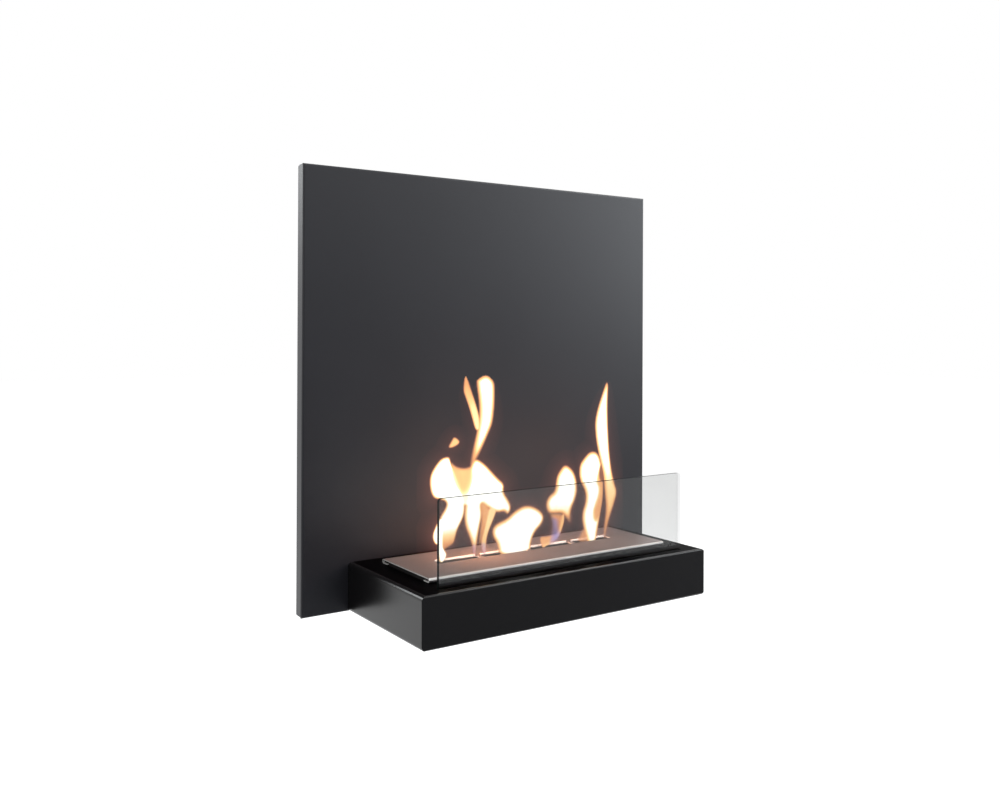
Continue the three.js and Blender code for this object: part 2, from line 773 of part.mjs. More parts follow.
// The same piece at several places, each [x, y, z].
function copies(name, solid, material, places) {
  const geometry = geometryFrom(solid);
  return places.map((place, i) => {
    const mesh = new THREE.Mesh(geometry, material);
    mesh.name = `${name}_${i + 1}`;
    mesh.position.set(...place);
    return mesh;
  });
}

const onPanel = ([x, z]) => [x, 0, z];
const onShelf = ([x, y]) => [x, y, 0];

const burner = new THREE.Group();
burner.position.set(0, burnerY, shelfHeight);
burner.add(
  piece('flame_lid', flameLid(), brushedSteel),
  piece('burner_box', burnerBox(), blackPaint),
  piece('fuel_tank', fuelTank(), brushedSteel),
  piece('absorbent_block', absorbentBlock(), ceramicWool),
  piece('retaining_mesh', retainingMesh(), brushedSteel),
  ...copies('tank_spacer', tankSpacer(), ceramicPad,
    grid([-spacerX, spacerX], [-spacerY, spacerY]).map(onShelf)),
);

const shelf = new THREE.Group();
shelf.position.set(0, -jointGap, 0);
shelf.add(
  piece('shelf_housing', shelfHousing(), shelfPaint),
  piece('bottom_cover', bottomCover(), galvanised),
  ...copies('cover_screw', coverScrew(), zincSteel, coverScrewPlaces.map(onShelf)),
  piece('burner_support_left', burnerSupport(-supportFromCentre), galvanised),
  piece('burner_support_right', burnerSupport(supportFromCentre), galvanised),
  piece('glass_channel', glassChannel(), galvanised),
  ...copies('channel_nut', channelNut(), zincSteel, studPlaces.map(onShelf)),
  piece('glass_gasket', glassGasket(), silicone),
  piece('glass_pane', glassPane(), clearGlass),
  burner,
);

const fireplace = new THREE.Group();
fireplace.position.set(0, -wallPlane, -railHeight);
fireplace.add(
  piece('back_panel', backPanel(), panelPaint),
  piece('stiffener_left', stiffener(-boltX), galvanised),
  piece('stiffener_right', stiffener(boltX), galvanised),
  piece('hanging_rail', hangingRail(), galvanised),
  ...copies('wall_pad', wallPad(), blackRubber, padPlaces.map(onPanel)),
  ...copies('shelf_bolt', shelfBolt(), zincSteel, boltPlaces.map(onPanel)),
  ...copies('shelf_washer', shelfWasher(), zincSteel, boltPlaces.map(onPanel)),
  ...copies('shelf_nut', shelfNut(), zincSteel, boltPlaces.map(onPanel)),
  shelf,
);

const group = new THREE.Group();
group.add(piece('wall_rail', wallRail(), galvanised), fireplace);

export default group;
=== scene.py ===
"""Looks of a wall-hung bioethanol fireplace: powder-coated panel and shelf, brushed lid, glass and flames."""

import json
import math

import bpy
import numpy as np
from mathutils import Matrix, Vector


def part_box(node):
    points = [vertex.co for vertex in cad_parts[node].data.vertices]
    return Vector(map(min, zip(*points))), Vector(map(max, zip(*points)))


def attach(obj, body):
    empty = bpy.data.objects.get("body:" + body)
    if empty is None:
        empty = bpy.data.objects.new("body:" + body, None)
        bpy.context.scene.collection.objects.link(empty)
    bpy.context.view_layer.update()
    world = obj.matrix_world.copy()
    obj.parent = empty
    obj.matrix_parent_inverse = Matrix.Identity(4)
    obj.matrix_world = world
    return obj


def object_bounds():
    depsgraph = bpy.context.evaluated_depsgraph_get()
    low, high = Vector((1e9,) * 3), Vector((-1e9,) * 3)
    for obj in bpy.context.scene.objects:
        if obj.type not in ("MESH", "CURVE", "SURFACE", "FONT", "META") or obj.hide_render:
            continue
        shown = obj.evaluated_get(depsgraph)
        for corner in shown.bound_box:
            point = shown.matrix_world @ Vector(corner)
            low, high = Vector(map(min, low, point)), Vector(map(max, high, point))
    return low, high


MM = 0.001

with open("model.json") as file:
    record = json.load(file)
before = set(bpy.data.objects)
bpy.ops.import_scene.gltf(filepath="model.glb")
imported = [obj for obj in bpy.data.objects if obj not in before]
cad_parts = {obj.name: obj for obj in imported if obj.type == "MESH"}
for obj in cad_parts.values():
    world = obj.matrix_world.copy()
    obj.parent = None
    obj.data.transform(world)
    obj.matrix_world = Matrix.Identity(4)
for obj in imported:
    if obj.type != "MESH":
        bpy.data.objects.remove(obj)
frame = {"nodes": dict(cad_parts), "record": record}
cad_low, cad_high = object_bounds()
nodes = frame["nodes"]

# ------------------------------------------------------------------ places taken from the frame
UPSTAND = 2 * MM             # the slot's turned-up rear edge stands this high on the lid
SLOT_BEHIND = 3.5 * MM       # from the lid's centre line back to the slot's
lid_low, lid_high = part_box("flame_lid")
lid_top = lid_high.z - UPSTAND
slot_y = (lid_low.y + lid_high.y) / 2 + SLOT_BEHIND

# ------------------------------------------------------------------ camera
IMAGE_WIDTH, IMAGE_HEIGHT = 1000, 800
FOCAL_PIXELS = 971.3
PRINCIPAL_X, PRINCIPAL_Y = 500.2, 326.2
SENSOR_WIDTH = 36.0
CAMERA_PLACE = Vector((-0.7981, -1.2256, -0.1448))
CAMERA_YAW = math.radians(33.98)
CAMERA_PITCH = math.radians(-0.249)
CAMERA_ROLL = math.radians(0.22)
CLIP_NEAR, CLIP_FAR = 0.05, 50


def add_camera():
    """The camera that took the photo, by a fit of edge points measured in it."""
    data = bpy.data.cameras.new("camera")
    camera = bpy.data.objects.new("camera", data)
    bpy.context.scene.collection.objects.link(camera)
    data.sensor_width = SENSOR_WIDTH
    data.lens = FOCAL_PIXELS / IMAGE_WIDTH * SENSOR_WIDTH
    data.shift_x = (IMAGE_WIDTH / 2 - PRINCIPAL_X) / IMAGE_WIDTH
    data.shift_y = (PRINCIPAL_Y - IMAGE_HEIGHT / 2) / IMAGE_WIDTH
    data.clip_start, data.clip_end = CLIP_NEAR, CLIP_FAR
    forward = Vector((
        math.sin(CAMERA_YAW) * math.cos(CAMERA_PITCH),
        math.cos(CAMERA_YAW) * math.cos(CAMERA_PITCH),
        -math.sin(CAMERA_PITCH),
    ))
    level_right = Vector((math.cos(CAMERA_YAW), -math.sin(CAMERA_YAW), 0))
    level_up = level_right.cross(forward)
    right = math.cos(CAMERA_ROLL) * level_right + math.sin(CAMERA_ROLL) * level_up
    up = -math.sin(CAMERA_ROLL) * level_right + math.cos(CAMERA_ROLL) * level_up
    turn = Matrix((right, up, -forward)).transposed()
    camera.matrix_world = Matrix.Translation(CAMERA_PLACE) @ turn.to_4x4()
    bpy.context.scene.camera = camera


add_camera()


# ------------------------------------------------------------------ shader helpers
class Shader:
    """A node material, with short calls for the nodes that it needs."""

    def __init__(self, name, **constants):
        self.material = bpy.data.materials.new(name)
        self.material.use_nodes = True
        self.tree = self.material.node_tree
        self.surface = self.tree.nodes["Principled BSDF"]
        self.coordinates = self.tree.nodes.new("ShaderNodeTexCoord").outputs["Object"]
        for socket, value in constants.items():
            self.surface.inputs[socket.replace("_", " ")].default_value = value

    def node(self, kind, **settings):
        made = self.tree.nodes.new("ShaderNode" + kind)
        for key, value in settings.items():
            setattr(made, key, value)
        return made

    def link(self, output, target):
        self.tree.links.new(output, target)

    def set(self, socket, output):
        self.link(output, self.surface.inputs[socket])

    def stretched(self, scale):
        mapping = self.node("Mapping")
        self.link(self.coordinates, mapping.inputs["Vector"])
        mapping.inputs["Scale"].default_value = scale
        return mapping.outputs["Vector"]

    def noise(self, scale, detail=3.0, stretch=(1, 1, 1), roughness=0.5, distortion=0.0):
        """Noise whose grain is about 1/scale metres."""
        made = self.node("TexNoise")
        self.link(self.stretched(stretch), made.inputs["Vector"])
        made.inputs["Scale"].default_value = scale
        made.inputs["Detail"].default_value = detail
        made.inputs["Roughness"].default_value = roughness
        made.inputs["Distortion"].default_value = distortion
        return made.outputs["Fac"]

    def cells(self, scale):
        """Crystals about 1/scale metres across, each with a random colour."""
        made = self.node("TexVoronoi")
        self.link(self.coordinates, made.inputs["Vector"])
        made.inputs["Scale"].default_value = scale
        return made.outputs["Color"]

    def ramp(self, fac, stops):
        """stops are (place, grey) or (place, (r, g, b))."""
        made = self.node("ValToRGB")
        self.link(fac, made.inputs["Fac"])
        elements = made.color_ramp.elements
        for index, (place, colour) in enumerate(stops):
            element = elements[index] if index < 2 else elements.new(place)
            element.position = place
            element.color = (*colour, 1) if isinstance(colour, tuple) else (colour, colour, colour, 1)
        return made.outputs["Color"]

    def math(self, operation, first, second):
        """first and second are outputs of nodes, or numbers."""
        made = self.node("Math", operation=operation)
        for socket, value in zip(made.inputs, (first, second)):
            if isinstance(value, (int, float)):
                socket.default_value = value
            else:
                self.link(value, socket)
        return made.outputs["Value"]

    def between(self, fac, low, high):
        """A value that runs from low to high as fac runs from 0 to 1."""
        made = self.node("MapRange")
        self.link(fac, made.inputs["Value"])
        made.inputs["To Min"].default_value = low
        made.inputs["To Max"].default_value = high
        return made.outputs["Result"]

    def mixed(self, first, second, share):
        """The first output's share and the second's share of the rest, added up."""
        return self.math("ADD", self.math("MULTIPLY", first, share), self.math("MULTIPLY", second, 1 - share))

    def shades(self, fac, colour, *stops):
        """The colour, darker or lighter by a share; stops are (place on fac, share)."""
        return self.ramp(fac, [(place, tinted(colour, share)) for place, share in stops])

    def bump(self, height, strength, distance, below=None):
        """A normal bent by the height, on top of another bend."""
        made = self.node("Bump")
        made.inputs["Strength"].default_value = strength
        made.inputs["Distance"].default_value = distance
        self.link(height, made.inputs["Height"])
        if below is not None:
            self.link(below, made.inputs["Normal"])
        return made.outputs["Normal"]


def tinted(colour, share):
    """The colour, darker or lighter by a share."""
    return tuple(min(1.0, channel * (1 + share)) for channel in colour)


# ------------------------------------------------------------------ materials
def powder_coat(name, colour, roughness, peel, specular):
    """Powder coat: a fine orange peel, a finer grain, and a slight cloud in colour and gloss."""
    shader = Shader(name, Specular_IOR_Level=specular)
    cloud = shader.noise(7, detail=4)
    grain = shader.noise(2600, detail=1)
    shade = shader.shades(cloud, colour, (0.3, -0.05), (0.7, 0.06))
    mix = shader.node("MixRGB", blend_type="MULTIPLY")
    mix.inputs["Fac"].default_value = 1
    shader.link(shade, mix.inputs["Color1"])
    shader.link(shader.ramp(grain, [(0.3, 0.9), (0.72, 1.1)]), mix.inputs["Color2"])
    shader.set("Base Color", mix.outputs["Color"])
    shader.set("Roughness", shader.between(cloud, roughness - 0.03, roughness + 0.03))
    waves = shader.bump(shader.noise(420, detail=2), peel, 0.0006)
    shader.set("Normal", shader.bump(grain, peel * 0.6, 0.0002, below=waves))
    return shader.material


MATT_METAL = 0.6             # brushing scatters the rest of the light,
DRESSED_METAL = 0.1          # and a dressed edge scatters most of it


def brushed_steel(name, colour, roughness):
    """Stainless sheet brushed along X, with short and long lines and an uneven gloss."""
    shader = Shader(name, Metallic=MATT_METAL)
    lines = shader.noise(1500, detail=4, stretch=(0.012, 1, 1), roughness=0.7)
    long_lines = shader.noise(420, detail=2, stretch=(0.004, 1, 1))
    haze = shader.noise(16, detail=3)
    both = shader.mixed(lines, long_lines, 0.65)
    shader.set("Base Color", shader.shades(both, colour, (0.3, -0.16), (0.7, 0.12)))
    uneven = shader.between(haze, roughness - 0.05, roughness + 0.06)
    shader.set("Roughness", shader.math("ADD", uneven, shader.between(lines, -0.05, 0.07)))
    shader.set("Normal", shader.bump(both, 0.5, 0.0004))
    return shader.material


def cut_steel_and_painted_light(name, colour):
    """A sheared and dressed sheet edge, with short marks across it. The same recipe gives the lid's folds a
    painted highlight in a light colour, and painted shade in a dark one.
    """
    shader = Shader(name, Metallic=DRESSED_METAL)
    marks = shader.noise(1800, detail=2, stretch=(1, 1, 0.2))
    shader.set("Base Color", shader.shades(marks, colour, (0.3, -0.08), (0.7, 0.06)))
    shader.set("Roughness", shader.between(marks, 0.45, 0.6))
    return shader.material


def mill_steel(name, colour, roughness):
    """Plain rolled stainless sheet: a soft rolling grain and a mottled sheen."""
    shader = Shader(name, Metallic=1.0)
    mottle = shader.noise(60, detail=4)
    rolled = shader.noise(900, detail=3, stretch=(0.05, 1, 1))
    shader.set("Base Color", shader.shades(mottle, colour, (0.3, -0.1), (0.7, 0.08)))
    shader.set("Roughness", shader.between(mottle, roughness - 0.06, roughness + 0.08))
    shader.set("Normal", shader.bump(rolled, 0.12, 0.0002))
    return shader.material


def galvanised(name, colour):
    """Hot-dip zinc: crystals about 6 mm across, each with its own shade and gloss."""
    shader = Shader(name, Metallic=0.9)
    crystals = shader.node("RGBToBW")
    shader.link(shader.cells(160), crystals.inputs["Color"])
    grey = crystals.outputs["Val"]
    blotch = shader.noise(30, detail=4)
    both = shader.mixed(grey, blotch, 0.7)
    shader.set("Base Color", shader.shades(both, colour, (0.25, -0.22), (0.75, 0.2)))
    shader.set("Roughness", shader.between(grey, 0.36, 0.56))
    shader.set("Normal", shader.bump(shader.noise(700, detail=2), 0.1, 0.0002))
    return shader.material


def zinc_plate(name, colour):
    """Bright zinc on small fasteners, with a faint yellow and blue cast."""
    shader = Shader(name, Metallic=1.0)
    cast = shader.noise(240, detail=3)
    blue = (colour[0] * 0.92, colour[1] * 0.98, colour[2] * 1.08)
    yellow = (colour[0] * 1.05, colour[1], colour[2] * 0.86)
    shader.set("Base Color", shader.ramp(cast, [(0.35, blue), (0.68, yellow)]))
    shader.set("Roughness", shader.between(cast, 0.3, 0.48))
    shader.set("Normal", shader.bump(shader.noise(2400, detail=2), 0.15, 0.0001))
    return shader.material


def heat_paint(name, colour):
    """Matt stove paint on the burner box: dry, slightly chalky, browned by heat in patches."""
    shader = Shader(name, Specular_IOR_Level=0.3)
    patches = shader.noise(22, detail=5)
    browned = (colour[0] * 1.8, colour[1] * 1.4, colour[2] * 1.2)
    shader.set("Base Color", shader.ramp(patches, [(0.4, colour), (0.75, browned)]))
    shader.set("Roughness", shader.between(patches, 0.55, 0.72))
    shader.set("Normal", shader.bump(shader.noise(1600, detail=3), 0.3, 0.0002))
    return shader.material


def clear_glass(name):
    """Clear toughened glass. A thin flat pane bends nothing that is seen through it, so the body has no
    refraction, and a clear coat gives its reflections. Faint smears tint it unevenly."""
    shader = Shader(
        name,
        Transmission_Weight=1.0,
        Roughness=0.0,
        IOR=1.0,
        Coat_Weight=1.0,
        Coat_IOR=1.5,
        Coat_Roughness=0.01,
    )
    smears = shader.noise(35, detail=4, distortion=0.6)
    shader.set("Base Color", shader.ramp(smears, [(0.3, (0.715, 0.72, 0.715)), (0.75, (0.735, 0.74, 0.735))]))
    return shader.material


def glass_edge(name):
    """The pane's ground edge. From outside it looks black; light inside the pane passes through it."""
    shader = Shader(name, Specular_IOR_Level=0.1)
    grinding = shader.noise(900, detail=3, stretch=(1, 1, 0.2))
    green = shader.ramp(grinding, [(0.3, (0.004, 0.006, 0.006)), (0.7, (0.012, 0.018, 0.017))])
    shader.set("Base Color", green)
    shader.set("Roughness", shader.between(grinding, 0.12, 0.3))
    inside = shader.node("NewGeometry").outputs["Backfacing"]
    shader.set("Alpha", shader.math("SUBTRACT", 1.0, inside))
    return shader.material


def rubbery(name, colour, roughness, grain):
    """Silicone or rubber: soft, dull, with a fine grain."""
    shader = Shader(name, Specular_IOR_Level=0.35)
    speckle = shader.noise(grain, detail=3)
    shader.set("Base Color", shader.shades(speckle, colour, (0.35, -0.25), (0.7, 0.4)))
    shader.set("Roughness", shader.between(speckle, roughness - 0.06, roughness + 0.08))
    shader.set("Normal", shader.bump(speckle, 0.2, 0.0003))
    return shader.material


def pressed_ceramic(name, colour):
    """Rough pressed ceramic with pits and darker grains."""
    shader = Shader(name, Specular_IOR_Level=0.3)
    pits = shader.noise(900, detail=4)
    shader.set("Base Color", shader.shades(pits, colour, (0.32, -0.35), (0.5, 0), (0.8, 0.12)))
    shader.set("Roughness", shader.between(pits, 0.75, 0.95))
    shader.set("Normal", shader.bump(pits, 0.5, 0.0006))
    return shader.material


def ceramic_fibre(name, colour):
    """Off-white fibre wool: tangled strands and soft tufts, singed in places."""
    shader = Shader(name, Specular_IOR_Level=0.1)
    strands = shader.noise(520, detail=5, stretch=(1, 2.5, 1), roughness=0.7, distortion=1.2)
    tufts = shader.noise(70, detail=3)
    singed = (colour[0] * 0.62, colour[1] * 0.52, colour[2] * 0.4)
    wool = shader.mixed(strands, tufts, 0.6)
    shader.set("Base Color", shader.ramp(wool, [(0.3, singed), (0.5, colour), (0.8, tinted(colour, 0.06))]))
    shader.set("Roughness", shader.between(tufts, 0.88, 1.0))
    shader.set("Normal", shader.bump(wool, 0.8, 0.0015))
    return shader.material


# one finish for each material slot in the frame's record
FINISHES = {
    "panel_paint": powder_coat("panel_paint", (0.0135, 0.0139, 0.0193), 0.42, 0.08, 0.5),
    "shelf_paint": powder_coat("shelf_paint", (0.0062, 0.0056, 0.006), 0.24, 0.03, 0.37),
    "black_paint": heat_paint("black_paint", (0.012, 0.0115, 0.011)),
    "brushed_steel": brushed_steel("brushed_steel", (0.34, 0.3, 0.295), 0.4),
    "stainless_steel": mill_steel("stainless_steel", (0.5, 0.49, 0.47), 0.34),
    "galvanised_steel": galvanised("galvanised_steel", (0.46, 0.475, 0.49)),
    "zinc_steel": zinc_plate("zinc_steel", (0.56, 0.57, 0.58)),
    "glass": clear_glass("glass"),
    "silicone": rubbery("silicone", (0.014, 0.014, 0.014), 0.55, 700),
    "rubber": rubbery("rubber", (0.02, 0.02, 0.02), 0.78, 1400),
    "ceramic_pad": pressed_ceramic("ceramic_pad", (0.68, 0.63, 0.53)),
    "ceramic_wool": ceramic_fibre("ceramic_wool", (0.82, 0.79, 0.72)),
}
# finishes of some faces of a node, and painted light: painted shade on the shelf's top, and on the lid's
# folds a painted highlight above and painted shade below
GLASS_EDGE = glass_edge("glass_edge")
# painted shade: the shelf's flat top takes a far darker coat with almost no gloss, though it is the same
# powder coat as the rest of the shelf
SHELF_TOP_SHADE = powder_coat("shelf_top_painted_shade", (0.0012, 0.001, 0.0014), 0.3, 0.02, 0.003)
# bare cut metal on the lid's ends, and a painted highlight on the upper half of its folds and on the upstand
CUT_EDGE_AND_HIGHLIGHT = cut_steel_and_painted_light("cut_steel_and_painted_light", (0.93, 0.92, 0.9))
# painted shade: a dark copy of the same edge finish, for the lower half of the lid's folds
PAINTED_SHADE_EDGE = cut_steel_and_painted_light("painted_shade_steel", (0.1, 0.09, 0.09))


# ------------------------------------------------------------------ carried-over CAD nodes
SMOOTH_ANGLE = math.radians(35)
SAME_PLACE = 1e-6            # metres between vertices that count as one point


def smooth_folds(mesh):
    """Shades folds and round edges smoothly, while flat faces stay flat.

    Each corner's normal is the area-weighted mean of the faces that meet there and turn less than
    SMOOTH_ANGLE from its own face, so the large flat faces rule the narrow facets of a fold.
    """
    places = np.empty(len(mesh.vertices) * 3)
    mesh.vertices.foreach_get("co", places)
    keys = np.round(places.reshape(-1, 3) / SAME_PLACE).astype(np.int64)
    _, point_of = np.unique(keys, axis=0, return_inverse=True)
    point_of = point_of.ravel()
    meeting = {}
    for polygon in mesh.polygons:
        for vertex in polygon.vertices:
            meeting.setdefault(point_of[vertex], []).append(polygon)
    limit = math.cos(SMOOTH_ANGLE)
    corner_normals = []
    for polygon in mesh.polygons:
        for vertex in polygon.vertices:
            total = Vector((0, 0, 0))
            for other in meeting[point_of[vertex]]:
                if other.normal.dot(polygon.normal) > limit:
                    total += other.normal * other.area
            corner_normals.append(total.normalized() if total.length else polygon.normal.copy())
    mesh.polygons.foreach_set("use_smooth", [True] * len(mesh.polygons))
    mesh.normals_split_custom_set(corner_normals)


# how far a face's normal goes along an axis
FLAT = math.cos(math.radians(8))
NEAR_AXIS = math.cos(math.radians(30))
FOLD_SIDEWAYS = 0.3
FOLD_UNDER = -0.1            # below this a fold's faces are in shade
FOLD_AWAY = 20 * MM          # the lid's folds lie farther than this from the slot
SHEET_SKIN = 0.1 * UPSTAND   # what rises above this from the lid's top is the upstand


def repaint(mesh, material, chosen):
    """Gives the faces for which chosen(polygon) holds another material."""
    mesh.materials.append(material)
    for polygon in mesh.polygons:
        if chosen(polygon):
            polygon.material_index = len(mesh.materials) - 1


def takes_cut_edge_and_highlight(polygon):
    """The lid's sheared ends, which are bare cut metal, and the upper half of its folds and the upstand
    behind the slot, which get a painted highlight.
    """
    end = abs(polygon.normal.x) > NEAR_AXIS
    away = abs(polygon.center.y - slot_y) > FOLD_AWAY
    fold = away and abs(polygon.normal.y) > FOLD_SIDEWAYS and polygon.normal.z > FOLD_UNDER
    upstand = polygon.center.z > lid_top + SHEET_SKIN
    return end or fold or upstand


def is_painted_shade_face(polygon):
    """The lower half of the lid's folds, which turns away from every light: it gets painted shade."""
    return polygon.normal.z < FOLD_UNDER and abs(polygon.center.y - slot_y) > FOLD_AWAY


slot_of_node = {part["node"]: part["material_slot"] for part in frame["record"]["subparts"]}
for name, node in nodes.items():
    node.data.materials.clear()
    node.data.materials.append(FINISHES[slot_of_node[name]])
    smooth_folds(node.data)
repaint(nodes["glass_pane"].data, GLASS_EDGE, lambda face: abs(face.normal.y) < NEAR_AXIS)
# the shelf's flat top gets painted shade
repaint(nodes["shelf_housing"].data, SHELF_TOP_SHADE, lambda face: face.normal.z > FLAT)
# the lid's cut ends, and a painted highlight on its folds' upper halves and its upstand
repaint(nodes["flame_lid"].data, CUT_EDGE_AND_HIGHLIGHT, takes_cut_edge_and_highlight)
# painted shade on the lower half of the lid's folds
repaint(nodes["flame_lid"].data, PAINTED_SHADE_EDGE, is_painted_shade_face)


# ------------------------------------------------------------------ flames
# The burning gas is one thin sheet that stands in the lid's slot. Each shape is a closed outline of
# (place across, height above the lid) in millimetres, seen from the front. A "flame" shape heats the
# gas, a "cool" shape brings it down to its own heat, and a "blue" shape tints it. After the name stand
# the heat at some heights, or one heat or tint, and how many millimetres inward it is reached.
FLAME_SHAPES = [
    ("flame", "left_lobe", [(12, 0.42), (22, 0.5), (34, 0.74), (46, 1)], 4.5,
     [(-129, 137), (-132, 138), (-140, 137), (-149, 129), (-157, 117), (-158, 106), (-156, 94),
      (-151, 86), (-142, 84), (-133, 80), (-132, 73), (-142, 60), (-145, 49), (-144, 34), (-144, 19),
      (-140, 13), (-131, 18), (-121, 22), (-118, 34), (-115, 43), (-109, 52), (-105, 61), (-104, 74),
      (-109, 90), (-114, 105), (-121, 118), (-126, 128)]),
    ("flame", "left_flank", [(0, 0.95)], 2,
     [(-140, 62), (-148, 49), (-153, 38), (-152, 30), (-148, 24), (-142, 25), (-138, 41)]),
    ("flame", "left_drop", [(0, 1)], 2,
     [(-144, 19), (-144, 6), (-142, -1), (-137, 0), (-132, 9), (-136, 15), (-140, 20)]),
    ("flame", "left_strip", [(0, 1)], 2,
     [(-145, 52), (-140, 50), (-139, 33), (-139, 19), (-136, 11), (-144, 4), (-145, 27)]),
    ("flame", "saddle", [(60, 0.97), (85, 0.9), (105, 0.7), (120, 0.58)], 5,
     [(-127, 133), (-120, 125), (-107, 121), (-97, 122), (-91, 126), (-84, 103), (-89, 73), (-100, 69),
      (-114, 75), (-123, 106)]),
    ("flame", "middle_tongue", [(0, 0.5), (22, 0.9), (45, 1)], 7,
     [(-86, 133), (-72, 124), (-61, 113), (-51, 103), (-40, 94), (-42, 84), (-31, 69), (-28, 59),
      (-34, 51), (-39, 57), (-53, 56), (-68, 65), (-79, 73), (-76, 56), (-80, 42), (-83, 27),
      (-85, 15), (-87, 0), (-91, 1), (-92, 17), (-96, 28), (-103, 44), (-105, 61), (-102, 82),
      (-98, 104), (-96, 119), (-92, 129)]),
    ("flame", "right_strand", [(0, 0.5), (15, 0.66), (45, 0.76)], 3,
     [(-65, 66), (-53, 60), (-54, 56), (-60, 44), (-66, 33), (-70, 19), (-69, 1), (-75, 2), (-78, 20),
      (-73, 36), (-69, 51)]),
    ("flame", "inner_fold", [(0, 0.3), (20, 0.46), (50, 0.56)], 5,
     [(-82, 77), (-62, 66), (-66, 51), (-72, 35), (-77, 17), (-82, 15), (-80, 34), (-77, 52)]),
    ("flame", "tall_wisp", [(110, 0.42), (128, 0.58), (150, 0.9), (165, 1)], 10,
     [(-70, 248), (-84, 242), (-86, 237), (-81, 208), (-81, 190), (-85, 169), (-90, 151), (-95, 131),
      (-97, 119), (-92, 121), (-84, 134), (-75, 150), (-66, 168), (-60, 180), (-57, 200), (-56, 230),
      (-59, 240)]),
    ("flame", "thin_wisp", [(168, 0.8), (200, 0.74), (235, 0.5)], 3.2,
     [(-104, 252), (-107, 227), (-103, 218), (-97, 203), (-92, 188), (-87, 172), (-82, 172),
      (-81, 181), (-82, 192), (-88, 210), (-95, 228)]),
    ("flame", "spark", [(150, 0.62)], 3,
     [(-121, 165), (-125, 159), (-131, 150), (-121, 151), (-111, 157)]),
    ("flame", "blob", [(0, 1)], 8,
     [(-1, 61), (-12, 59), (-25, 53), (-34, 46), (-57, 40), (-60, 27), (-51, 14), (-47, -6), (5, -7),
      (6, 9), (12, 22), (25, 32), (29, 41), (25, 49), (13, 57)]),
    ("flame", "centre_flame", [(34, 0.5), (44, 0.8), (60, 1)], 9,
     [(66, 115), (56, 105), (51, 96), (49, 77), (38, 71), (32, 60), (36, 46), (47, 44), (61, 44),
      (67, 37), (75, 28), (78, 31), (77, 47), (86, 64), (89, 78), (86, 95), (79, 107)]),
    ("flame", "stem_strand", [(0, 0.62)], 2,
     [(64, 45), (66, 34), (61, 21), (55, 11), (43, 4), (28, -2), (25, 0), (41, 8), (52, 15), (57, 24),
      (59, 35)]),
    ("flame", "centre_stem", [(0, 0.3), (20, 0.36), (40, 0.5)], 9,
     [(37, 48), (43, 35), (43, 24), (40, 16), (36, 1), (55, 1), (60, 15), (65, 34), (65, 45)]),
    ("flame", "centre_foot", [(0, 0.56)], 3,
     [(21, 15), (25, -1), (31, -2), (42, 8), (55, 11), (51, 16), (35, 13)]),
    ("flame", "right_lobe", [(0, 1)], 8,
     [(114, 130), (102, 121), (93, 111), (93, 91), (105, 72), (105, 56), (99, 42), (99, 27), (106, 5),
      (108, -5), (124, -7), (128, 14), (132, 35), (137, 59), (138, 84), (135, 109), (128, 127)]),
    ("flame", "right_wisp", [(0, 0.5), (22, 0.6), (60, 0.74), (90, 0.82), (112, 1)], 7,
     [(147, 238), (135, 210), (127, 189), (123, 171), (125, 148), (129, 129), (135, 109), (139, 92),
      (141, 69), (144, 42), (140, 18), (139, -2), (143, -2), (146, 14), (151, 30), (160, 51),
      (165, 67), (160, 79), (154, 99), (150, 125), (147, 166), (146, 199)]),
    ("flame", "right_foot", [(0, 0.44)], 5,
     [(105, 23), (96, 11), (88, -1), (111, -3), (108, 13)]),
    ("cool", "saddle_fold", 0.6, 14,
     [(-126, 125), (-107, 122), (-97, 122), (-90, 112), (-92, 97), (-102, 85), (-112, 86), (-121, 98),
      (-126, 113)]),
    ("cool", "right_strip", 0.56, 8,
     [(125, 97), (132, 112), (138, 101), (141, 84), (141, 59), (139, 36), (136, 12), (131, 12),
      (130, 30), (125, 24), (118, 28), (116, 42), (120, 52), (126, 65), (128, 75), (122, 85)]),
    ("cool", "right_gap", 0.2, 5,
     [(131, 108), (135, 109), (139, 92), (138, 82), (131, 85), (128, 96)]),
    ("blue", "centre_blue", 0.85, 12,
     [(40, 41), (55, 38), (55, 24), (61, 15), (57, 1), (36, 1), (40, 13), (43, 25)]),
    ("blue", "middle_base", 0.45, 5,
     [(-93, 19), (-85, 18), (-86, -1), (-92, -1)]),
    ("blue", "strand_base", 0.45, 5,
     [(-79, 19), (-69, 18), (-68, -1), (-76, 0)]),
]
# lengths in millimetres
SHEET_STEP = 1.25            # between the sheet's grid lines
SHEET_LOW, SHEET_HIGH = -3.0, 262.0
SHEET_HALF = 178.0           # to each side
CORNER_CUTS = 2
EDGE_SPREAD = 0.8            # a shape is this much wider than its outline
EDGE_HEAT = 0.12             # share of a shape's heat that it has at its very edge
HEAT_BLEND = 5               # the higher, the more the hotter one of two shapes rules where they overlap
HAZE_HEAT = 0.13             # the glow around the flames
HAZE_REACH = 12.0
HAZE_FROM = 4.0              # it rises to its full heat at this height
HAZE_FULL, HAZE_END = 60.0, 260.0   # and fades between these heights
FAINTEST = 0.012             # gas with less heat is left out
THINNEST = 0.3               # half the gas's thickness along a shape's edge
SHEET_THICKNESS = 2.0        # what is added where the shape is deep
BULGE_DEPTH = 6.0
SLOT_THICKNESS = 2.0         # half the thickness that the gas has at most where it leaves the slot
SLOT_SPREAD = 0.3            # and what is added for each millimetre above it
SWAY = 3.0                   # how far the gas swings back and forth
SWAY_UP, SWAY_ALONG = 34.0, 45.0    # height and width of a swing, for each radian
SWAY_FROM = 50.0             # it swings fully from this height on
SIDEWAYS = 0.67              # share of the swing by which the gas also goes sideways


def rounded(outline):
    """The outline with its corners cut off, and the new corners again."""
    points = np.array(outline, float)
    for _ in range(CORNER_CUTS):
        following = np.roll(points, -1, axis=0)
        pairs = (points * 0.75 + following * 0.25, points * 0.25 + following * 0.75)
        points = np.stack(pairs, axis=1).reshape(-1, 2)
    return points


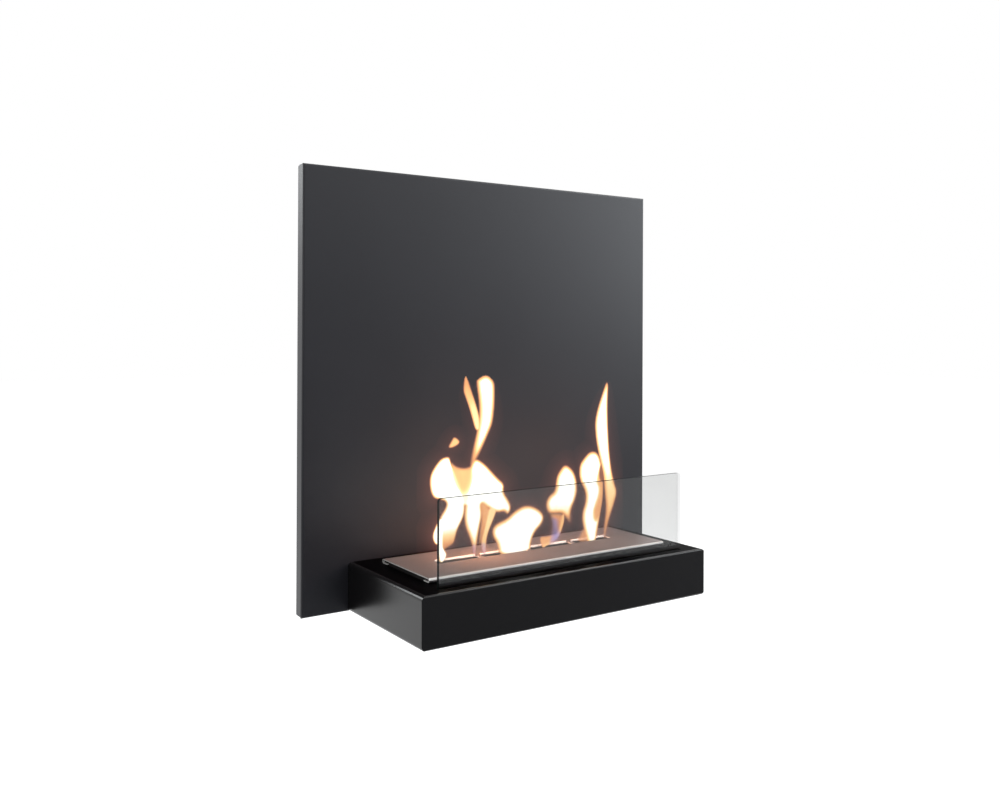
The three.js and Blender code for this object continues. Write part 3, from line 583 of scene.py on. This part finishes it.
def depth_inside(outline, across, height):
    """How far each place lies inside the outline; negative outside."""
    points = rounded(outline)
    nearest = np.full(across.shape, np.inf)
    inside = np.zeros(across.shape, bool)
    for (x0, z0), (x1, z1) in zip(points, np.roll(points, -1, axis=0)):
        span = max((x1 - x0) ** 2 + (z1 - z0) ** 2, 1e-9)
        t = np.clip(((across - x0) * (x1 - x0) + (height - z0) * (z1 - z0)) / span, 0, 1)
        nearest = np.minimum(nearest, np.hypot(across - x0 - t * (x1 - x0), height - z0 - t * (z1 - z0)))
        if z0 != z1:
            crosses = (z0 > height) != (z1 > height)
            inside ^= crosses & (across < (x1 - x0) * (height - z0) / (z1 - z0) + x0)
    return np.where(inside, nearest, -nearest)


def gas_fields(across, height):
    """Heat and blue tint of the gas at each place, and how much it bulges there, all from 0 to 1."""
    heat, blue, deepest = np.zeros(across.shape), np.zeros(across.shape), np.full(across.shape, -100.0)
    for kind, _, level, softness, outline in FLAME_SHAPES:
        depth = depth_inside(outline, across, height) + EDGE_SPREAD
        share = 1 - (1 - np.clip(depth / softness, 0, 1)) ** 2
        if kind == "blue":
            blue = np.maximum(blue, level * share)
        elif kind == "cool":
            heat = heat + (np.minimum(level, heat) - heat) * share
        else:
            level = np.interp(height, *zip(*level))
            own = level * (EDGE_HEAT + (1 - EDGE_HEAT) * share) * (depth > 0)
            heat = (heat ** HEAT_BLEND + own ** HEAT_BLEND) ** (1 / HEAT_BLEND)
            deepest = np.maximum(deepest, depth)
    fading = np.clip((HAZE_END - height) / (HAZE_END - HAZE_FULL), 0, 1) * np.clip(height / HAZE_FROM, 0, 1)
    haze = HAZE_HEAT * np.exp(np.minimum(deepest, 0) / HAZE_REACH) * fading
    return np.maximum(heat, haze), blue, 1 - np.exp(-np.maximum(deepest, 0) / BULGE_DEPTH)


def gas_sheet():
    """The closed sheet: a front and a back grid that share the vertices along their edge.

    cells are the grid's squares that hold gas, and meeting is how many of them meet at a vertex.
    """
    columns = np.arange(-SHEET_HALF, SHEET_HALF, SHEET_STEP)
    rows = np.arange(SHEET_LOW, SHEET_HIGH, SHEET_STEP)
    across, height = np.meshgrid(columns, rows)
    heat, blue, bulge = gas_fields(across, height)
    kept = heat > FAINTEST
    cells = kept[:-1, :-1] & kept[1:, :-1] & kept[:-1, 1:] & kept[1:, 1:]
    around = np.pad(cells, 1)
    meeting = around[:-1, :-1].astype(int) + around[1:, :-1] + around[:-1, 1:] + around[1:, 1:]
    risen = np.maximum(height, 0)
    thickness = np.minimum(THINNEST + SHEET_THICKNESS * bulge, SLOT_THICKNESS + SLOT_SPREAD * risen)
    sway = SWAY * np.sin(height / SWAY_UP + across / SWAY_ALONG) * np.clip(height / SWAY_FROM, 0, 1)
    across = across + sway * SIDEWAYS
    place, heats, blues, number = [], [], [], {}
    for side in (-1, 1):
        for row, column in zip(*np.nonzero(meeting)):
            edge = meeting[row, column] < 4
            if edge and side == 1:
                number[row, column, side] = number[row, column, -1]
                continue
            number[row, column, side] = len(place)
            out = 0 if edge else side * thickness[row, column]
            place.append((across[row, column] * MM, slot_y + (sway[row, column] + out) * MM,
                          lid_top + height[row, column] * MM))
            heats.append(heat[row, column])
            blues.append(blue[row, column])
    faces = []
    for row, column in zip(*np.nonzero(cells)):
        corners = ((row, column), (row, column + 1), (row + 1, column + 1), (row + 1, column))
        faces.append([number[(*corner, -1)] for corner in corners])
        faces.append([number[(*corner, 1)] for corner in reversed(corners)])
    mesh = bpy.data.meshes.new("flames")
    mesh.from_pydata(place, [], faces)
    mesh.polygons.foreach_set("use_smooth", [True] * len(mesh.polygons))
    mesh.attributes.new("gas_heat", "FLOAT", "POINT").data.foreach_set("value", heats)
    mesh.attributes.new("gas_blue", "FLOAT", "POINT").data.foreach_set("value", blues)
    return mesh


GAS_STRENGTH = 1.8           # the light is divided by it, so that no colour in a ramp is above 1
# heat, share that the gas covers of what lies behind it, light that it gives off where it covers all
GAS_GLOW = [
    (0.0, 0.0, (1.4, 0.44, 0.36)),
    (0.1, 0.05, (1.4, 0.44, 0.32)),
    (0.3, 0.4, (1.0, 0.48, 0.24)),
    (0.5, 0.78, (1.4, 0.58, 0.25)),
    (0.65, 0.92, (1.5, 0.86, 0.36)),
    (0.8, 0.97, (1.56, 1.2, 0.62)),
    (0.9, 0.98, (1.6, 1.5, 1.16)),
    (1.0, 0.99, (1.8, 1.8, 1.7)),
]
GAS_BLUE = (0.42, 0.38, 0.9)


def gas_material():
    """Glowing gas: orange where it is thin, then yellow and white, and blue where it leaves the slot."""
    shader = Shader("flame_gas", Base_Color=(0, 0, 0, 1), Roughness=1.0, Specular_IOR_Level=0.0,
                    Emission_Strength=GAS_STRENGTH)
    streaks = shader.noise(70, detail=3, stretch=(1, 1, 0.3), distortion=0.8)
    heat = shader.node("Attribute", attribute_name="gas_heat").outputs["Fac"]
    heat = shader.math("MULTIPLY", heat, shader.between(streaks, 0.9, 1.1))
    blue = shader.node("Attribute", attribute_name="gas_blue").outputs["Fac"]
    light = [(level, tuple(c / GAS_STRENGTH for c in colour)) for level, _, colour in GAS_GLOW]
    # the sheet's front and back each cover their share, and together they cover the whole
    cover = [(level, 1 - math.sqrt(1 - covered)) for level, covered, _ in GAS_GLOW]
    tint = shader.node("MixRGB", blend_type="MIX")
    tint.inputs["Color2"].default_value = (*(c / GAS_STRENGTH for c in GAS_BLUE), 1)
    shader.link(blue, tint.inputs["Fac"])
    shader.link(shader.ramp(heat, light), tint.inputs["Color1"])
    shader.set("Emission Color", tint.outputs["Color"])
    shader.set("Alpha", shader.ramp(heat, cover))
    return shader.material


# place across and height above the lid (mm), power
GLOW_LAMPS = [
    (-86, 32, 0.36), (-58, 45, 0.36), (-15, 60, 0.12), (60, 60, 0.1), (110, 60, 0.12),
    (-70, 130, 0.2), (125, 120, 0.35),
]
GLOW_COLOUR = (1.0, 0.4, 0.18)
GLOW_RADIUS = 0.03
BASE_GLOW_PLACE = (0, slot_y - 4 * MM, lid_top + 6 * MM)
BASE_GLOW_TURN = math.radians(80)    # it shines at the upstand behind the slot, and a little down
BASE_GLOW_SIZE = 0.29, 0.004
BASE_GLOW_POWER = 0.03
BASE_GLOW_COLOUR = (1.0, 0.85, 0.75)


def add_flames():
    """The gas. As in the photo it mirrors in nothing, and the lamps inside it cast no shadow of it."""
    piece = bpy.data.objects.new("flames", gas_sheet())
    bpy.context.scene.collection.objects.link(piece)
    piece.data.materials.append(gas_material())
    piece.visible_glossy = piece.visible_shadow = False
    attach(piece, "burner")


def add_glow(name, kind, power, colour, place):
    """A lamp that is part of the flames: it lights things, and is itself seen nowhere."""
    data = bpy.data.lights.new(name, kind)
    data.energy = power
    data.color = colour
    lamp = bpy.data.objects.new(name, data)
    lamp.location = place
    lamp.visible_camera = lamp.visible_glossy = lamp.visible_transmission = False
    bpy.context.scene.collection.objects.link(lamp)
    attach(lamp, "burner")
    return lamp


def add_flame_light():
    """The flames' warm light on the panel, the lid and the shelf, and their bases' light on the slot."""
    for index, (across, height, power) in enumerate(GLOW_LAMPS):
        place = (across * MM, slot_y, lid_top + height * MM)
        lamp = add_glow(f"flame_light_{index + 1}", "POINT", power, GLOW_COLOUR, place)
        lamp.data.shadow_soft_size = GLOW_RADIUS
    lamp = add_glow("flame_base_light", "AREA", BASE_GLOW_POWER, BASE_GLOW_COLOUR, BASE_GLOW_PLACE)
    lamp.data.shape = "RECTANGLE"
    lamp.data.size, lamp.data.size_y = BASE_GLOW_SIZE
    lamp.rotation_euler = (BASE_GLOW_TURN, 0, 0)


add_flames()
add_flame_light()


# ------------------------------------------------------------------ floor, background and light
FLOOR_BELOW = 0.42           # metres below the object
FLOOR_SIZE = 30.0
PALE = (0.93, 0.93, 0.93, 1)
WHITE = (1, 1, 1, 1)
FLOOR_GLOW = 0.55            # with the light on it, the floor then shows as white
WORLD_LIGHT = 0.5
FLAG_GREY = (0.3, 0.31, 0.33, 1)
FLAG_LEFT, FLAG_RIGHT = -3.0, 2.6
FLAG_FRONT, FLAG_REAR = -2.4, -0.6
FLAG_LOW, FLAG_TOP = cad_low.z - FLOOR_BELOW + 0.01, 0.25
FILL_BLACK = (0.01, 0.01, 0.01, 1)
FILL_BELOW = 0.12            # metres below the object
FILL_LOW, FILL_HIGH = (-1.1, -0.9), (0.0, 0.3)
# name, place, what it shines at, width and height, power, colour
SOFTBOXES = [
    ("softbox_right", (2.2, -1.3, 0.5), (0.1, 0, 0.0), (1.0, 1.2), 24, (0.9, 0.96, 1.0)),
    ("softbox_top", (1.0, -0.55, 0.85), (0.05, -0.18, -0.45), (1.3, 0.25), 7, (1, 1, 1)),
    ("softbox_left", (-1.6, 2.4, 1.0), (-0.3, 0, -0.1), (1.4, 1.2), 29.5, (0.95, 0.98, 1.0)),
]


def seen_directly(tree):
    """1 for rays that show the background: straight from the camera, in a reflection or through glass."""
    path = tree.nodes.new("ShaderNodeLightPath")
    seen = path.outputs["Is Camera Ray"]
    for kind in ("Is Glossy Ray", "Is Transmission Ray"):
        either = tree.nodes.new("ShaderNodeMath")
        either.operation = "MAXIMUM"
        tree.links.new(seen, either.inputs[0])
        tree.links.new(path.outputs[kind], either.inputs[1])
        seen = either.outputs[0]
    return seen


def flat_card(name, corners, material):
    """An object of one flat face."""
    mesh = bpy.data.meshes.new(name)
    mesh.from_pydata(corners, [], [(0, 1, 2, 3)])
    mesh.materials.append(material)
    card = bpy.data.objects.new(name, mesh)
    bpy.context.scene.collection.objects.link(card)
    return card


def level_corners(low, high, level):
    """Corners of the level rectangle between two (x, y) places."""
    return [(x, y, level) for x, y in (low, (high[0], low[1]), high, (low[0], high[1]))]


def add_floor():
    """Pale floor that shows white, and still takes the object's shadow."""
    shader = Shader("studio_floor", Base_Color=PALE, Roughness=1.0, Specular_IOR_Level=0.0,
                    Emission_Color=WHITE)
    shader.set("Emission Strength", shader.math("MULTIPLY", seen_directly(shader.tree), FLOOR_GLOW))
    half = FLOOR_SIZE / 2
    corners = level_corners((-half, -half), (half, half), cad_low.z - FLOOR_BELOW)
    floor = flat_card("studio_floor", corners, shader.material)


def add_world():
    """White background; as a lamp it gives the plain soft light of a studio."""
    world = bpy.data.worlds.new("studio")
    world.use_nodes = True
    tree = world.node_tree
    background = tree.nodes["Background"]
    background.inputs["Color"].default_value = WHITE
    strength = tree.nodes.new("ShaderNodeMapRange")
    tree.links.new(seen_directly(tree), strength.inputs["Value"])
    strength.inputs["To Min"].default_value = WORLD_LIGHT
    strength.inputs["To Max"].default_value = 1.0
    tree.links.new(strength.outputs["Result"], background.inputs["Strength"])
    bpy.context.scene.world = world


def add_flag(name, corners):
    """A dark card beside the camera. Only reflections see it, and it keeps them dark, as in a studio."""
    shader = Shader(name, Base_Color=(0, 0, 0, 1), Specular_IOR_Level=0.0, Emission_Color=FLAG_GREY,
                    Emission_Strength=1.0)
    card = flat_card(name, corners, shader.material)
    card.visible_camera = card.visible_diffuse = card.visible_transmission = card.visible_shadow = False


def add_fill_card():
    """A black card below the object's left half, out of the camera's sight. It keeps the floor's light
    off the panel's lower left, as in the photo."""
    shader = Shader("fill_card", Base_Color=FILL_BLACK, Specular_IOR_Level=0.0)
    card = flat_card("fill_card", level_corners(FILL_LOW, FILL_HIGH, cad_low.z - FILL_BELOW), shader.material)
    card.visible_camera = card.visible_transmission = False
    card.visible_glossy = card.visible_shadow = False


def add_softbox(name, place, target, size, power, colour):
    """A soft lamp that the camera doesn't see."""
    data = bpy.data.lights.new(name, "AREA")
    data.shape = "RECTANGLE"
    data.size, data.size_y = size
    data.energy = power
    data.color = colour
    lamp = bpy.data.objects.new(name, data)
    lamp.location = place
    lamp.rotation_euler = (Vector(target) - Vector(place)).to_track_quat("-Z", "Y").to_euler()
    lamp.visible_camera = False
    bpy.context.scene.collection.objects.link(lamp)


add_floor()
add_world()
standing = [(FLAG_LEFT, FLAG_FRONT, FLAG_LOW), (FLAG_RIGHT, FLAG_FRONT, FLAG_LOW),
            (FLAG_RIGHT, FLAG_FRONT, FLAG_TOP), (FLAG_LEFT, FLAG_FRONT, FLAG_TOP)]
add_flag("front_flag", standing)
add_flag("floor_flag", level_corners((FLAG_LEFT, FLAG_FRONT), (FLAG_RIGHT, FLAG_REAR), FLAG_LOW))
add_fill_card()
for softbox in SOFTBOXES:
    add_softbox(*softbox)

bpy.context.scene.view_settings.view_transform = "Standard"
